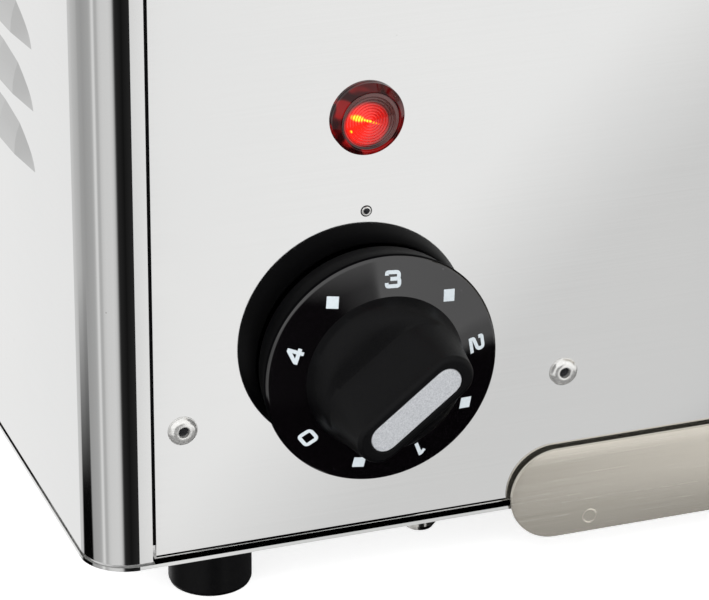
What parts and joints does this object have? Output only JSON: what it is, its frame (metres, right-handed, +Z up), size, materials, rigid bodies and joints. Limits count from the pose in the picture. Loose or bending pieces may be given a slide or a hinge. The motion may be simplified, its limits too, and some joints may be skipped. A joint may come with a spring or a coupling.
{
  "type": "rotisserie oven",
  "caption": "Bench-top electric rotisserie oven: steel casing, side-hung glass door, driven spit with forks, heating elements, dial control and slide-out drip tray.",
  "frame": {"origin": "on the table, under the middle of the whole object's box", "axes": "+X to the oven's right as the user faces it, +Y to its back, +Z up"},
  "size_m": [0.6444, 0.492, 0.4303],
  "materials": {
    "bright_steel": "bright annealed, near mirror",
    "brushed_steel": "brushed lengthways",
    "mill_steel": "mill finish",
    "plated_steel": "bright nickel or zinc plate",
    "chromed_steel": "polished chrome",
    "heater_sheath": "oxidised alloy, matt",
    "black_rubber": "matt",
    "silicone_rubber": "satin",
    "phenolic_moulding": "fine matt",
    "satin_foil": "satin foil",
    "red_lens": "glowing translucent",
    "black_nylon": "satin",
    "steatite": "unglazed ceramic",
    "brass": "satin",
    "zinc_casting": "as cast",
    "dark_steel": "black passivated",
    "wire_insulation": "glass braid",
    "toughened_glass": "clear float"
  },
  "bodies": {
    "casing": {"base_plate": "bright_steel", "left_side_panel": "bright_steel", "right_side_panel": "bright_steel", "top_panel": "bright_steel", "back_panel": "mill_steel", "front_panel": "bright_steel", "control_shelf": "mill_steel", "control_bracket": "mill_steel", "liner_left_wall": "mill_steel", "liner_right_wall": "mill_steel", "liner_back_wall": "mill_steel", "liner_roof": "mill_steel", "tray_rails": "mill_steel", "rubber_feet": "black_rubber", "foot_screws": "plated_steel", "base_screws": "plated_steel", "front_rivets": "plated_steel", "shell_screws": "plated_steel", "inner_screws": "plated_steel", "index_pin": "plated_steel", "pilot_lens": "red_lens", "pilot_body": "black_nylon", "regulator_body": "steatite", "switch_frame": "black_nylon", "terminal_block": "steatite", "inlet_socket": "black_nylon", "inlet_pins": "brass", "motor_gearbox": "zinc_casting", "motor_can": "dark_steel", "upper_element_front": "heater_sheath", "upper_element_rear": "heater_sheath", "lower_element": "heater_sheath", "element_insulators": "steatite", "element_clips": "mill_steel", "thermal_cutout": "steatite", "wiring_loom": "wire_insulation", "spit_rest": "mill_steel", "hinge_brackets": "mill_steel", "hinge_pins": "plated_steel", "hinge_screws": "plated_steel", "catch_magnet": "dark_steel"},
    "door": {"door_frame": "brushed_steel", "door_glass": "toughened_glass", "glass_retainer": "mill_steel", "door_seal": "silicone_rubber", "handle_bar": "brushed_steel", "handle_posts": "phenolic_moulding"},
    "tray": {"tray_pan": "brushed_steel", "tray_front_plate": "brushed_steel"},
    "knob": {"knob_skirt": "phenolic_moulding", "knob_grip": "phenolic_moulding", "knob_inlay": "satin_foil", "regulator_spindle": "brass"},
    "rocker": {"switch_rocker": "black_nylon"},
    "drive": {"drive_socket": "chromed_steel"},
    "spit": {"spit_rod": "chromed_steel"},
    "left_fork": {"fork_left": "chromed_steel"},
    "right_fork": {"fork_right": "chromed_steel"},
    "left_fork_screw": {"fork_screw_left": "plated_steel"},
    "right_fork_screw": {"fork_screw_right": "plated_steel"}
  },
  "joints": [
    {"name": "knob_turn", "type": "hinge", "parent": "casing", "child": "knob", "pos_m": [-0.2495, -0.187, 0.0687], "axis": [0, -1, 0], "range_deg": [-71, 233]},
    {"name": "rocker_tip", "type": "hinge", "parent": "casing", "child": "rocker", "pos_m": [-0.2495, -0.182, 0.2187], "axis": [1, 0, 0], "range_deg": [0, 14]},
    {"name": "door_swing", "type": "hinge", "parent": "casing", "child": "door", "pos_m": [0.292, -0.202, 0.2353], "axis": [0, 0, 1], "range_deg": [0, 110]},
    {"name": "tray_slide", "type": "slide", "parent": "casing", "child": "tray", "axis": [0, -1, 0], "range_m": [0, 0.3]},
    {"name": "drive_spin", "type": "hinge", "parent": "casing", "child": "drive", "pos_m": [-0.127, -0.002, 0.2383], "axis": [1, 0, 0], "continuous": true},
    {"name": "spit_spin", "type": "hinge", "parent": "casing", "child": "spit", "pos_m": [0.27, -0.002, 0.2383], "axis": [1, 0, 0], "continuous": true},
    {"name": "left_fork_slide", "type": "slide", "parent": "spit", "child": "left_fork", "axis": [1, 0, 0], "range_m": [-0.055, 0.018]},
    {"name": "right_fork_slide", "type": "slide", "parent": "spit", "child": "right_fork", "axis": [1, 0, 0], "range_m": [-0.018, 0.06]},
    {"name": "left_screw_turn", "type": "hinge", "parent": "left_fork", "child": "left_fork_screw", "pos_m": [-0.036, -0.002, 0.2533], "axis": [0, 0, 1], "range_deg": [0, 180]},
    {"name": "right_screw_turn", "type": "hinge", "parent": "right_fork", "child": "right_fork_screw", "pos_m": [0.184, -0.002, 0.2533], "axis": [0, 0, 1], "range_deg": [0, 180]}
  ],
  "couplings": [
    {"joint": "spit_spin", "follows": "drive_spin", "ratio": 1}
  ]
}
